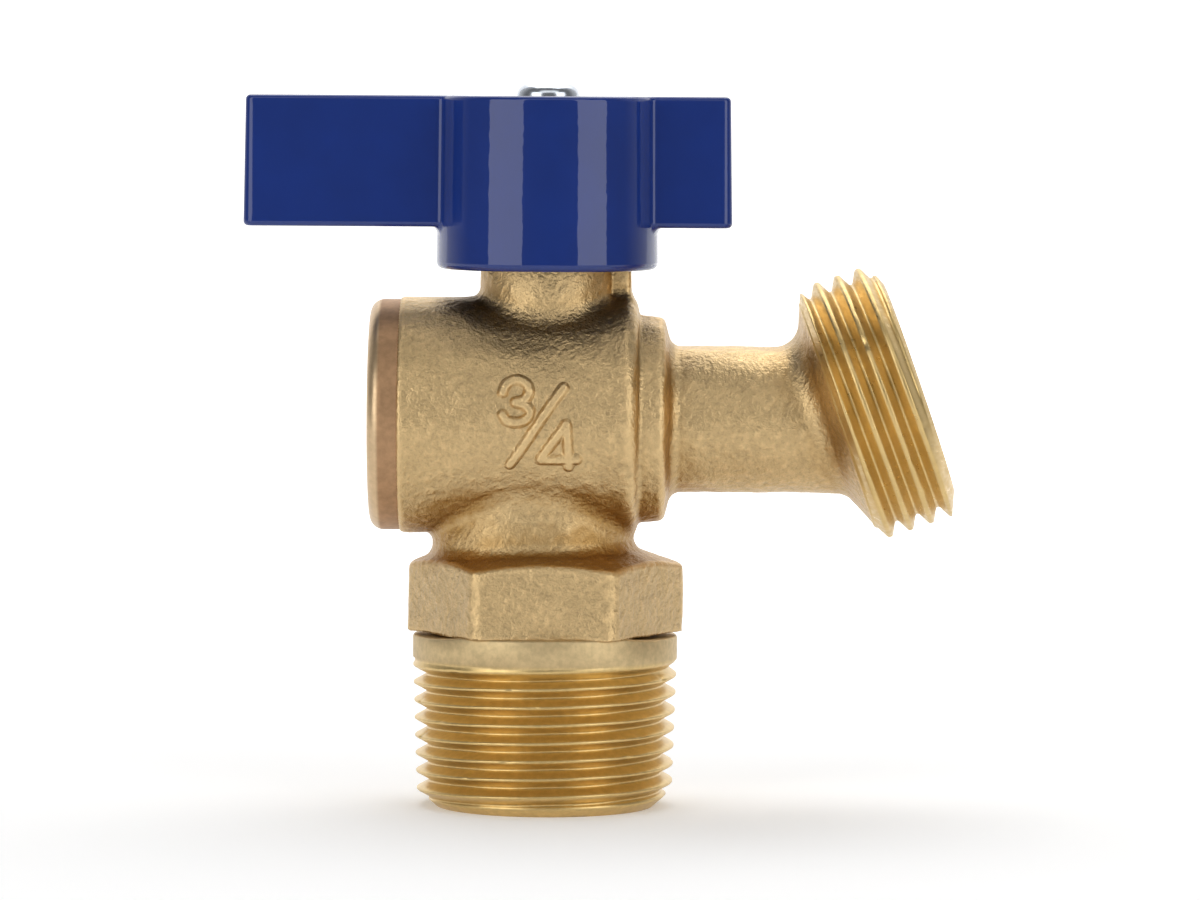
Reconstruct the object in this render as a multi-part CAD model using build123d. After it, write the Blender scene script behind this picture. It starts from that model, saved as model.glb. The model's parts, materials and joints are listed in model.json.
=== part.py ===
from build123d import *
from math import asin, cos, pi, radians, sin, tan
import os

# Quarter-turn boiler drain valve, in millimetres.
# The origin is the centre of the inlet's end face, Z runs up the stem axis and X points at the hose outlet.
# Pipe and hose threads are drawn as plain walls at the size of their crests.

# Fits: half gaps between pieces that slide, turn or screw together, and play between the rest
thread_gap = 0.04
turning_gap = 0.05
seat_gap = 0.03
ball_gap = 0.08
tang_gap = 0.10
tang_end_gap = 0.25
stop_gap = 0.15
chamber_gap = 0.45
plug_nose_gap = 0.08
plug_ball_gap = 0.7
rib_gap = 1.05
lug_gap = 0.68
roof_gap = 2.2
socket_end_gap = 0.2
screw_hole_gap = 0.2
washer_bore_gap = 0.15
washer_rim_gap = 0.5

# Inlet end: 3/4 in male taper pipe thread, plain collar and wrench hexagon
pipe_small_r = 26.03 / 2
pipe_taper = 1 / 32
pipe_thread_z = 15.2
pipe_nose_step = 1.915
pipe_nose_z = 1.7
pipe_collar_height = 3.0
hex_height = 6.45
hex_across_flats = 24.6
hex_corner_round = 1.0
hex_chamfer = 1.34
hex_chamfer_slope = 40
shoulder_slope = 19
neck_r = 9.0
neck_stretch = 2.5
neck_rise = 3.25
neck_foot_round = 1.0
neck_top_round = 1.2
neck_wall_left = 0.1
inlet_bore_r = 6.3

# Ball and its seats
ball_r = 8.75
port_r = 5.0
slot_depth = 2.8
seat_r = 7.3
seat_bore_step = 0.2
seat_setback = 3.15
seat_thickness = 2.8
seat_pocket_rise = 0.8

# End plug
plug_thread_step = 0.55
plug_thread_length = 6.8
plug_inset = 0.6
plug_land = 2.2
plug_groove_width = 1.4
plug_groove_depth = 1.2
plug_groove_wall = 0.5
plug_socket_across_flats = 10.0
plug_socket_depth = 5.0
plug_chamfer = 0.5

# Barrel that holds the ball, lying along X
barrel_wall = 2.25
barrel_end_wall = 1.0
barrel_round = 1.5
band_step = 0.25
band_width = 2.7
rim_bevel_width = 1.9
rim_bevel_depth = 1.1
rim_round = 1.5

# Outlet: collar, spout and hose end, forged a little below the barrel's axis
spout_drop = 0.3
collar_step = 1.4
collar_length = 2.5
collar_draft = 0.25
collar_slope = 0.8
collar_root_round = 0.3
collar_edge_round = 0.4
collar_foot_round = 1.0
spout_r = 7.45
spout_bore_r = 5.0
bore_overlap = 1.0
spout_length = 16.4
spout_bend_r = 14.0
hose_tilt = 19.2
hose_reach = 10.2
hose_thread_r = 26.99 / 2
hose_thread_length = 8.3
hose_nose_step = 2.345
hose_nose_length = 1.4
hose_back_slope = 22
hose_flare_round = 3.2
hose_mouth_r = 8.6
hose_mouth_depth = 6.5
hose_mouth_point = 118

# Stem and what seals it
stem_r = 3.5
stem_flat_depth = 0.9
stem_socket_depth = 3.4
stem_chamfer = 0.4
flange_width = 1.1
flange_rise = 1.1
flange_thickness = 1.45
tang_width = 3.0
tang_length = 7.6
thrust_washer_thickness = 0.8
stem_groove_depth = 1.0
stem_groove_rise = 0.85
stem_groove_width = 1.3
stuffing_rise = 1.0
packing_width = 1.5
packing_height = 1.3
gland_height = 0.8
nut_thread_length = 2.4
nut_wall = 1.0
nut_height = 3.2
nut_chamfer = 0.5

# Boss round the stem, with the rib that stops the handle
boss_wall = 1.72
boss_foot_round = 1.0
rib_reach = 1.83
rib_width = 3.3
rib_corner_round = 0.5
rib_foot_land = 0.85
rib_top_drop = 2.6

# Handle
handle_top_wall = 2.4
hub_height = 17.6
hub_draft = 0.7
hub_wall = 1.7
hub_edge_round = 0.7
wing_height = 13.3
wing_long_x = -30.8
wing_short_x = 18.8
wing_thickness = 7.4
wing_draft = 1.0
wing_corner_round = 1.1
wing_root_round = 0.8
wing_edge_round = 0.5
wing_wall = 1.6
wing_web_x = -20.5
lug_width = 2.2
lug_rise = 0.8
screw_recess_depth = 0.9

# Screw and washer
screw_r = 1.75
screw_length = 10.0
screw_head_r = 3.2
screw_head_height = 1.6
screw_head_round = 1.2
screw_cross_width = 0.85
screw_cross_span = 3.5
screw_cross_depth = 1.1
screw_cross_taper = 12
washer_r = 3.4
washer_thickness = 0.5
washer_split = 0.6

# Bores and walls, worked out from the ball and the stem outwards
chamber_r = ball_r + chamber_gap
plug_thread_r = chamber_r + plug_thread_step
plug_groove_r = chamber_r - plug_groove_depth
barrel_r = plug_thread_r + barrel_wall
band_r = barrel_r - band_step
collar_r = barrel_r - collar_step
seat_bore_r = port_r + seat_bore_step
stem_bore_r = stem_r + turning_gap
stem_flats = 2 * (stem_r - stem_flat_depth)
stem_groove_r = stem_r - stem_groove_depth
flange_r = stem_r + flange_width
stuffing_r = stem_r + packing_width
nut_across_flats = 2 * (stuffing_r + nut_wall)
boss_r = stuffing_r + boss_wall
rib_r = boss_r + rib_reach
lug_r = boss_r + lug_gap
hub_r = rib_r + rib_gap + hub_wall
pipe_r = pipe_small_r + pipe_thread_z * pipe_taper
pipe_nose_r = pipe_small_r - pipe_nose_step
hose_nose_r = hose_thread_r - hose_nose_step
washer_bore_r = screw_r + washer_bore_gap
screw_recess_r = washer_r + washer_rim_gap

# Places along the barrel, from the ball towards both ends
seat_front_x = ball_r - seat_setback
seat_back_x = seat_front_x + seat_thickness
chamber_end_x = seat_front_x + seat_pocket_rise
barrel_outlet_x = max(seat_back_x + barrel_end_wall, rib_r + rib_foot_land)
collar_x = barrel_outlet_x + collar_length
hose_pivot_x = collar_x + spout_length
plug_nose_x = -chamber_end_x
plug_groove_x = plug_nose_x - plug_land - plug_groove_width
plug_shoulder_x = plug_groove_x - plug_groove_wall
plug_face_x = plug_shoulder_x - plug_thread_length
rim_x = plug_face_x - plug_inset
band_x = rim_x + band_width

# Heights, from the inlet's end face upwards
hex_z = pipe_thread_z + pipe_collar_height
hex_top_z = hex_z + hex_height
barrel_z = hex_top_z + neck_rise + barrel_r
spout_z = barrel_z - spout_drop
slot_z = barrel_z + ball_r - slot_depth
tang_z = slot_z + tang_end_gap
flange_z = barrel_z + ball_r + flange_rise
washer_low_z = flange_z + flange_thickness + turning_gap
washer_top_z = washer_low_z + thrust_washer_thickness
stem_groove_z = washer_top_z + stem_groove_rise
stuffing_z = stem_groove_z + stem_groove_width + stuffing_rise
packing_top_z = stuffing_z + 2 * packing_height
gland_top_z = packing_top_z + gland_height
boss_top_z = gland_top_z + nut_thread_length
rib_top_z = boss_top_z - rib_top_drop
hub_roof_z = boss_top_z + nut_height + roof_gap
stem_top_z = hub_roof_z + stem_socket_depth
handle_top_z = stem_top_z + socket_end_gap + handle_top_wall
hub_bottom_z = handle_top_z - hub_height
wing_bottom_z = handle_top_z - wing_height
lug_bottom_z = hub_bottom_z + lug_rise

barrel_frame = Plane(origin=(0, 0, barrel_z), x_dir=(0, 1, 0), z_dir=(1, 0, 0))
spout_frame = Plane(origin=(0, 0, spout_z), x_dir=(0, 1, 0), z_dir=(1, 0, 0))
hose_direction = Vector(cos(radians(hose_tilt)), 0, sin(radians(hose_tilt)))
hose_pivot = Vector(hose_pivot_x, 0, spout_z)
hose_face = hose_pivot + hose_direction * hose_reach
hose_frame = Plane(origin=hose_face, x_dir=(0, 1, 0), z_dir=hose_direction)


def outline(points, rounds=()):
    """A closed flat outline through (radius, height) points, with some of its corners rounded."""
    face = make_face(Polyline(*points, close=True))
    for corner, radius in rounds:
        vertex = face.vertices().sort_by_distance(Vector(*points[corner]))[0]
        face = fillet(vertex, radius)
    return face


def turned(points, rounds=()):
    """A piece turned about Z from an outline of (radius, height) points."""
    return revolve(Plane.XZ * outline(points, rounds), Axis.Z)


def rod(radius, low, high):
    """A round bar about Z between two heights."""
    return Pos(0, 0, low) * extrude(Circle(radius), high - low)


def ring(inner, outer, low, high):
    """A plain ring about Z between two heights."""
    return rod(outer, low, high) - rod(inner, low, high)


def hexagon(across_flats, low, high):
    """A six-sided bar about Z between two heights."""
    shape = RegularPolygon(across_flats / 2, 6, major_radius=False)
    return Pos(0, 0, low) * extrude(shape, high - low)


def corner_radius(across_flats):
    """How far a hexagon's corners lie from its middle."""
    return across_flats / 2 / cos(radians(30))


def rounded_join(first, second, radius):
    """Two solids joined, with their seam rounded."""
    joined = first + second
    return fillet(new_edges(first, second, combined=joined), radius)


def hose_point(along):
    """A point on the axis of the hose end, counted back from its face."""
    return hose_face + hose_direction * along


def bent_bore(radius, start_x, end_along):
    """The round water way along the spout, which bends up into the axis of the hose end."""
    path = FilletPolyline((start_x, 0, spout_z), hose_pivot, hose_point(end_along), radius=spout_bend_r)
    return sweep(Plane(origin=path @ 0, z_dir=path % 0) * Circle(radius), path=path)


def inlet_end():
    """Pipe-thread end, collar, hexagon with its sloping shoulder, and the neck up into the barrel."""
    nose_crest_r = pipe_small_r + pipe_nose_z * pipe_taper
    thread_end = turned([
        (0, 0), (pipe_nose_r, 0), (nose_crest_r, pipe_nose_z),
        (pipe_r, pipe_thread_z), (pipe_r, hex_z), (0, hex_z),
    ])
    corner_r = corner_radius(hex_across_flats)
    chamfer_r = corner_r - hex_chamfer
    shoulder_rise = (corner_r - neck_r / 2) * tan(radians(shoulder_slope))
    chamfer_rise = hex_chamfer * tan(radians(hex_chamfer_slope))
    bar = hexagon(hex_across_flats, hex_z, hex_top_z + shoulder_rise)
    bar = fillet(bar.edges().filter_by(Axis.Z), hex_corner_round)
    trim = turned([
        (0, hex_z), (chamfer_r, hex_z), (corner_r, hex_z + chamfer_rise), (corner_r, hex_top_z),
        (neck_r / 2, hex_top_z + shoulder_rise), (0, hex_top_z + shoulder_rise),
    ])
    neck_shape = Pos(-neck_stretch / 2, 0) * SlotCenterToCenter(neck_stretch, 2 * neck_r)
    neck = Pos(0, 0, hex_top_z) * extrude(neck_shape, barrel_z - hex_top_z)
    return rounded_join(thread_end + (bar & trim), neck, neck_foot_round)


def neck_top_room():
    """The largest fillet over the neck that its wall takes beside the barrel's rounded outlet end."""
    foot = neck_foot_round * tan((pi / 2 - radians(shoulder_slope)) / 2)
    shoulder = (corner_radius(hex_across_flats) - neck_r) * tan(radians(shoulder_slope))
    inside_round = max(0, neck_r + barrel_round - barrel_outlet_x)
    lean = asin(min(1, inside_round / barrel_round))
    wall = neck_rise - shoulder - foot - neck_wall_left + barrel_round * (1 - cos(lean))
    return wall / tan((pi / 2 - lean) / 2)


def barrel():
    """The forged barrel with its turned band and rounded rim at the plug end."""
    return barrel_frame * turned(
        [
            (0, rim_x), (band_r - rim_bevel_width, rim_x), (band_r, rim_x + rim_bevel_depth),
            (band_r, band_x), (barrel_r, band_x), (barrel_r, barrel_outlet_x), (0, barrel_outlet_x),
        ],
        rounds=[(2, rim_round), (5, barrel_round)],
    )


def outlet_branch():
    """The stepped collar, the level spout and the tilted end for the hose coupling, coned at its back."""
    foot_x = collar_x + collar_slope
    sleeve_x = foot_x + 2 * collar_foot_round
    collar = spout_frame * turned(
        [
            (0, 0), (collar_r, 0), (collar_r, barrel_outlet_x), (collar_r - collar_draft, collar_x),
            (spout_r, foot_x), (spout_r, sleeve_x), (0, sleeve_x),
        ],
        rounds=[(3, collar_edge_round), (4, collar_foot_round)],
    )
    back = -hose_thread_length
    cone_end = back - hose_thread_r * tan(radians(hose_back_slope))
    hose_end = hose_frame * turned([
        (0, 0), (hose_nose_r, 0), (hose_thread_r, -hose_nose_length), (hose_thread_r, back), (0, cone_end),
    ])
    spout_end = hose_point(-hose_mouth_depth).X
    spout = spout_frame * rod(spout_r, collar_x, spout_end)
    return collar + rounded_join(spout, hose_end, hose_flare_round)


def boss():
    """The upright boss round the stem, with the stop rib on its outlet side."""
    rib = Pos(0, 0, barrel_z) * extrude(
        Pos(rib_r / 2, 0) * Rectangle(rib_r, rib_width), rib_top_z - barrel_z
    )
    rib = fillet(rib.edges().filter_by(Axis.Z).sort_by(Axis.X)[-2:], rib_corner_round)
    return rod(boss_r, barrel_z, boss_top_z) + rib


def water_ways():
    """All bores of the body: water way, chamber, seat pocket, plug thread and stem bores."""
    chamber = barrel_frame * turned([
        (0, rim_x), (plug_thread_r, rim_x), (plug_thread_r, plug_shoulder_x), (chamber_r, plug_shoulder_x),
        (chamber_r, chamber_end_x), (seat_r + seat_gap, chamber_end_x), (seat_r + seat_gap, seat_back_x),
        (0, seat_back_x),
    ])
    point_depth = hose_mouth_depth + hose_mouth_r / tan(radians(hose_mouth_point / 2))
    mouth = hose_frame * turned([
        (0, 0), (hose_mouth_r, 0), (hose_mouth_r, -hose_mouth_depth), (0, -point_depth),
    ])
    return [
        rod(inlet_bore_r, 0, barrel_z),
        chamber,
        bent_bore(spout_bore_r, seat_back_x - bore_overlap, -hose_mouth_depth),
        mouth,
        rod(flange_r + stop_gap, barrel_z, washer_top_z),
        rod(stem_bore_r, barrel_z, stuffing_z),
        rod(stuffing_r + thread_gap, stuffing_z, boss_top_z),
    ]


def make_body():
    upper = rounded_join(barrel(), boss(), boss_foot_round)
    shape = rounded_join(inlet_end(), upper, min(neck_top_round, neck_top_room()))
    shape = rounded_join(shape, outlet_branch(), collar_root_round)
    for bore in water_ways():
        shape = shape - bore
    return shape


def make_ball():
    centre = Pos(0, 0, barrel_z)
    slot = Box(tang_width + 2 * tang_gap, 4 * ball_r, ball_r, align=(Align.CENTER, Align.CENTER, Align.MIN))
    side_port = barrel_frame * rod(port_r, 0, 2 * ball_r)
    return (
        centre * Sphere(ball_r) - centre * Sphere(port_r) - side_port
        - rod(port_r, barrel_z - 2 * ball_r, barrel_z) - Pos(0, 0, slot_z) * slot
    )


def make_seat():
    """The outlet's seat ring, with a face that follows the ball."""
    section = outline([
        (seat_bore_r, seat_front_x), (seat_r, seat_front_x),
        (seat_r, seat_back_x), (seat_bore_r, seat_back_x),
    ])
    return barrel_frame * revolve(Plane.XZ * (section - Circle(ball_r + ball_gap)), Axis.Z)


def make_end_plug():
    nose_r = chamber_r - plug_nose_gap
    crest_r = plug_thread_r - thread_gap
    groove_end = plug_groove_x + plug_groove_width
    shape = turned([
        (0, plug_face_x), (crest_r - plug_chamfer, plug_face_x), (crest_r, plug_face_x + plug_chamfer),
        (crest_r, plug_shoulder_x),
        (nose_r, plug_shoulder_x), (nose_r, plug_groove_x), (plug_groove_r, plug_groove_x),
        (plug_groove_r, groove_end), (nose_r, groove_end), (nose_r, plug_nose_x), (0, plug_nose_x),
    ])
    shape = shape - hexagon(plug_socket_across_flats, plug_face_x, plug_face_x + plug_socket_depth)
    shape = shape - rod(seat_r + seat_gap, -seat_back_x, plug_nose_x)
    shape = shape - rod(seat_bore_r, -ball_r - plug_ball_gap, plug_nose_x)
    return barrel_frame * shape


def make_o_ring(inner, outer, middle):
    """A round-section ring that fills a groove between two radii."""
    section = (outer - inner) / 2 - seat_gap
    return Pos(0, 0, middle) * Torus((outer + inner) / 2, section)


def make_stem():
    shoulder_z = flange_z + flange_thickness
    shape = turned([
        (0, flange_z), (flange_r, flange_z), (flange_r, shoulder_z), (stem_r, shoulder_z),
        (stem_r, stem_groove_z), (stem_groove_r, stem_groove_z),
        (stem_groove_r, stem_groove_z + stem_groove_width), (stem_r, stem_groove_z + stem_groove_width),
        (stem_r, stem_top_z - stem_chamfer), (stem_r - stem_chamfer, stem_top_z), (0, stem_top_z),
    ])
    tang = Pos(0, 0, tang_z) * extrude(Rectangle(tang_width, tang_length), flange_z - tang_z)
    shape = shape + (tang & rod(flange_r, tang_z, flange_z))
    for side in (-1, 1):
        flat = Pos(0, side * (stem_flats / 2 + stem_r), hub_roof_z) * extrude(
            Rectangle(4 * stem_r, 2 * stem_r), stem_top_z - hub_roof_z
        )
        shape = shape - flat
    return shape - rod(screw_r + thread_gap, stem_top_z - screw_length, stem_top_z)


def make_packing_nut():
    head = hexagon(nut_across_flats, boss_top_z, boss_top_z + nut_height)
    corner_r = corner_radius(nut_across_flats)
    trim = turned([
        (0, boss_top_z), (corner_r, boss_top_z), (corner_r, boss_top_z + nut_height - nut_chamfer),
        (corner_r - 2 * nut_chamfer, boss_top_z + nut_height), (0, boss_top_z + nut_height),
    ])
    shape = (head & trim) + rod(stuffing_r, gland_top_z, boss_top_z)
    return shape - rod(stem_bore_r + turning_gap, gland_top_z, boss_top_z + nut_height)


def wing_pocket(low_x, high_x):
    """One of the pockets that core out a wing from below."""
    width = wing_thickness - 2 * wing_wall
    top_z = handle_top_z - wing_wall
    return Pos((low_x + high_x) / 2, 0, wing_bottom_z) * extrude(
        Rectangle(high_x - low_x, width), top_z - wing_bottom_z, taper=wing_draft
    )


def stop_lug(turn):
    """A lug inside the hub that meets the stop rib when the handle has been turned by this much."""
    near = rib_width / 2 + stop_gap
    block = Pos((lug_r + hub_r) / 2, -near - lug_width / 2, lug_bottom_z) * extrude(
        Rectangle(hub_r - lug_r, lug_width), hub_roof_z - lug_bottom_z
    )
    block = block & rod(hub_r - hub_wall / 2, lug_bottom_z, hub_roof_z)
    return block if turn == 0 else Rot(0, 0, -turn) * mirror(block, Plane.XZ)


def make_handle():
    hub = Pos(0, 0, hub_bottom_z) * extrude(Circle(hub_r), handle_top_z - hub_bottom_z, taper=hub_draft)
    hub = fillet(hub.faces().sort_by(Axis.Z)[0].edges(), hub_edge_round)
    middle_x = (wing_long_x + wing_short_x) / 2
    plan = Pos(middle_x, 0) * RectangleRounded(wing_short_x - wing_long_x, wing_thickness, wing_corner_round)
    wings = Pos(0, 0, wing_bottom_z) * extrude(plan, handle_top_z - wing_bottom_z, taper=wing_draft)
    wings = fillet(wings.faces().sort_by(Axis.Z)[0].edges(), wing_edge_round)
    shape = rounded_join(hub, wings, wing_root_round)
    shape = fillet(shape.faces().sort_by(Axis.Z)[-1].edges(), wing_edge_round)
    shape = shape - rod(hub_r - hub_wall, hub_bottom_z, hub_roof_z)
    shape = shape + stop_lug(0) + stop_lug(-90)
    for low_x, high_x in (
        (wing_long_x + wing_wall, wing_web_x - wing_wall / 2),
        (wing_web_x + wing_wall / 2, -hub_r),
        (hub_r, wing_short_x - wing_wall),
    ):
        shape = shape - wing_pocket(low_x, high_x)
    socket = extrude(
        Circle(stem_bore_r) & Rectangle(4 * stem_r, stem_flats + 2 * turning_gap),
        stem_top_z + socket_end_gap - hub_roof_z,
    )
    shape = shape - Pos(0, 0, hub_roof_z) * socket
    shape = shape - rod(screw_r + screw_hole_gap, hub_roof_z, handle_top_z)
    return shape - rod(screw_recess_r, handle_top_z - screw_recess_depth, handle_top_z)


def make_screw():
    seat_z = handle_top_z - screw_recess_depth + washer_thickness
    head = turned(
        [(0, seat_z), (screw_head_r, seat_z), (screw_head_r, seat_z + screw_head_height),
         (0, seat_z + screw_head_height)],
        rounds=[(2, screw_head_round)],
    )
    shank = rod(screw_r, seat_z - screw_length, seat_z)
    shape = head + shank
    for turn in (0, 90):
        slot = Rot(0, 0, turn) * extrude(
            Rectangle(screw_cross_span, screw_cross_width), -screw_cross_depth, taper=screw_cross_taper
        )
        shape = shape - Pos(0, 0, seat_z + screw_head_height) * slot
    return shape


def make_lock_washer():
    low = handle_top_z - screw_recess_depth
    shape = ring(washer_bore_r, washer_r, low, low + washer_thickness)
    split = Pos(washer_r / 2, 0, low) * extrude(Rectangle(washer_r, washer_split), washer_thickness)
    return shape - split


pieces = {
    "body": make_body(),
    "ball": make_ball(),
    "outlet_seat": make_seat(),
    "rear_seat": Rot(0, 0, 180) * make_seat(),
    "end_plug": make_end_plug(),
    "end_plug_o_ring": barrel_frame * make_o_ring(
        plug_groove_r, chamber_r, plug_groove_x + plug_groove_width / 2
    ),
    "stem": make_stem(),
    "stem_thrust_washer": ring(
        stem_bore_r, flange_r + turning_gap, washer_low_z, washer_top_z
    ),
    "stem_o_ring": make_o_ring(
        stem_groove_r, stem_bore_r, stem_groove_z + stem_groove_width / 2
    ),
    "packing_ring_lower": ring(stem_bore_r, stuffing_r, stuffing_z, stuffing_z + packing_height),
    "packing_ring_upper": ring(stem_bore_r, stuffing_r, stuffing_z + packing_height, packing_top_z),
    "gland_ring": ring(stem_bore_r, stuffing_r, packing_top_z, gland_top_z),
    "packing_nut": make_packing_nut(),
    "handle": make_handle(),
    "handle_screw": make_screw(),
    "screw_lock_washer": make_lock_washer(),
}

os.makedirs("parts", exist_ok=True)
for name, piece in pieces.items():
    export_step(piece, f"parts/{name}.step")
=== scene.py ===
import json
import math
from functools import reduce

import bpy
import numpy as np
from bpy.props import FloatProperty, FloatVectorProperty, IntProperty
from mathutils import Euler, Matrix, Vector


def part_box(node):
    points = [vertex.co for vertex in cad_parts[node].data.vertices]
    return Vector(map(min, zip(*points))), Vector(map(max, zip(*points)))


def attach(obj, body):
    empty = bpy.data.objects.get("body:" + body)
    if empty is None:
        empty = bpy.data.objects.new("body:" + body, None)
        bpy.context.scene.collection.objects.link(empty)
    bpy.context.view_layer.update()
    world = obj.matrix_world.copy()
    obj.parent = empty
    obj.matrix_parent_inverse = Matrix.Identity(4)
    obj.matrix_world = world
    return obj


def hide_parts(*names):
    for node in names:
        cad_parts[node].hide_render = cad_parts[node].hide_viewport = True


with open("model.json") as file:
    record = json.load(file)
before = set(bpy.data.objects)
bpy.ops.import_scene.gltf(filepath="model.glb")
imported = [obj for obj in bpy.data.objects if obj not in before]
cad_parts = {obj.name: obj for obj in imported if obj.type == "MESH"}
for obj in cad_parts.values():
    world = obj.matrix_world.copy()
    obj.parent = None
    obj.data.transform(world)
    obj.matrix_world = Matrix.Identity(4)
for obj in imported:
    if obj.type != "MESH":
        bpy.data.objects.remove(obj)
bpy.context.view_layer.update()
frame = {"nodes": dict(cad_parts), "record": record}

bl_info = {
    "name": "Boiler drain valve",
    "version": (1, 0, 0),
    "blender": (4, 5, 0),
    "location": "View3D > Sidebar > Valve",
    "description": "Finished surfaces of a quarter-turn boiler drain valve, built round its solid model",
    "category": "Mesh",
}

MM = 0.001
INCH = 25.4 * MM
TURN = 2 * math.pi

SKIN_SEED, PIPE_SEED, HOSE_SEED = 11, 5, 9  # of the skin's lumps and of the nicks in the two threads
PLUG_GAP = 0.04 * MM  # between the end plug and its socket
NOTCH_RUN = 5.2 * MM  # over which a notch under the hexagon opens
NOTCH_ROOT = 11.6 * MM  # from the stem's axis to the notches' inner wall

# Places that the solid model gives
mounts = {mount["name"]: mount for mount in frame["record"]["mounts"]}
hose_axis = mounts["hose_face"]["axis"]
hose_x = mounts["hose_face"]["pos_m"][0]
hose_z = mounts["hose_face"]["pos_m"][2]
hose_radius = mounts["hose_thread"]["dims"]["r_mm"] * MM
hose_tilt = math.atan2(hose_axis[2], hose_axis[0])
body_low, body_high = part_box("body")
plug_low, plug_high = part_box("end_plug")
barrel_z = (plug_low.z + plug_high.z) / 2

# Materials made so far, by finish
finishes = {}


def length(name, description, millimetres):
    """A size that a user can change, given in millimetres and kept in metres."""
    return FloatProperty(
        name=name, description=description, default=millimetres * MM, unit="LENGTH", precision=5
    )


def tilt(name, description, degrees):
    """An angle that a user can change, given in degrees and kept in radians."""
    return FloatProperty(name=name, description=description, default=math.radians(degrees), subtype="ANGLE")


def colour(name, description, red, green, blue):
    """A colour that a user can change, as linear light."""
    return FloatVectorProperty(
        name=name, description=description, default=(red, green, blue), subtype="COLOR", min=0, max=1
    )


class ForgingSizes(bpy.types.PropertyGroup):
    """Sizes of the sand-blasted forging."""

    barrel_radius: length("Barrel radius", "Outside of the barrel", 12.0)
    barrel_start: length("Barrel start", "Where the forged skin ends at the plug", -14.9)
    barrel_end: length("Barrel end", "Outlet end of the barrel", 9.4)
    barrel_round: length("Barrel round", "Rounding of the barrel's outlet end", 1.5)
    boss_radius: length("Boss radius", "Outside of the stem boss", 6.72)
    boss_round: length("Boss foot", "Rounding at the foot of the boss", 1.1)
    rib_reach: length("Rib reach", "How far the stop rib reaches from the stem", 8.55)
    rib_width: length("Rib width", "Thickness of the stop rib", 3.3)
    rib_top: length("Rib top", "Height of the stop rib's top", 58.4)
    neck_radius: length("Neck radius", "Outside of the neck above the hexagon", 9.0)
    neck_stretch: length("Neck stretch", "How much longer the neck is towards the plug", 2.5)
    neck_round: length("Neck round", "Rounding between neck and barrel", 0.9)
    hexagon_flats: length("Across flats", "Wrench size of the hexagon", 24.7)
    hexagon_low: length("Hexagon bottom", "Height of the hexagon's lower face", 18.0)
    notch_height: length("Notch height", "Height of the dark notches under the side corners", 0.95)
    notch_start: length("Notch start", "Where the notches start, counted from the stem's axis", 8.4)
    hexagon_top: length("Hexagon top", "Height where the hexagon's corners end", 24.65)
    hexagon_round: length("Hexagon corners", "Rounding of the hexagon's corners", 1.7)
    shoulder_slope: tilt("Shoulder slope", "Slope of the shoulder over the hexagon", 19)
    collar_radius: length("Outlet collar", "Outside of the collar at the outlet", 10.6)
    collar_face: length("Collar face", "Where the outlet collar ends", 11.9)
    spout_height: length("Spout height", "Height of the spout's axis", 39.6)
    spout_radius: length("Spout radius", "Outside of the spout", 7.45)
    spout_bend: length("Spout bend", "Radius of the bend in the water way", 14.0)
    cone_depth: length("Cone depth", "How far the back cone's rim lies behind the hose face", 8.15)
    cone_slope: tilt("Cone slope", "Slope of the cone behind the hose thread", 22)
    flare_round: length("Flare round", "Rounding between spout and cone", 2.2)
    waterway_radius: length("Water way", "Bore of the inlet", 6.3)
    spout_bore: length("Spout bore", "Bore of the spout", 5.0)
    chamber_radius: length("Chamber", "Bore of the ball chamber", 9.2)
    cell: length("Cell", "Size of the cells that the skin is worked out in", 0.30)


class ThreadSizes(bpy.types.PropertyGroup):
    """Sizes of the pipe thread and the hose thread."""

    pipe_radius: length("Pipe radius", "Crests at the large end of the taper thread", 26.03 / 2 + 15.2 / 32)
    pipe_per_inch: FloatProperty(name="Pipe threads per inch", description="Standard count", default=14)
    pipe_height: length("Pipe thread length", "Where the taper thread ends", 15.2)
    pipe_depth: length("Pipe thread depth", "Height of the taper thread", 1.25)
    nose_radius: length("Nose radius", "Edge of the inlet's end face", 11.1)
    nose_height: length("Nose height", "Length of the chamfer at the inlet's end", 1.7)
    hose_per_inch: FloatProperty(name="Hose threads per inch", description="Standard count", default=11.5)
    hose_depth: length("Hose thread depth", "Height of the hose thread", 1.35)
    hose_nose: length("Hose nose radius", "Edge of the hose face", 11.15)
    hose_nose_length: length("Hose nose", "Length of the chamfer at the hose face", 1.0)
    mouth_radius: length("Mouth radius", "Bore of the hose mouth", 8.6)
    mouth_depth: length("Mouth depth", "Depth of the hose mouth's straight bore", 6.5)
    columns: IntProperty(name="Columns", description="Steps round each thread", default=288, min=24)


class NumeralSizes(bpy.types.PropertyGroup):
    """The raised size mark on the barrel."""

    stroke_width: length("Stroke width", "Width of a stroke at its foot", 1.5)
    stroke_flat: length("Stroke top", "Width of a stroke's flat top", 0.35)
    stroke_height: length("Stroke height", "How far a stroke stands out of the barrel", 0.46)
    step: length("Step", "Distance between the points of the mark's surface", 0.09)


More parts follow.
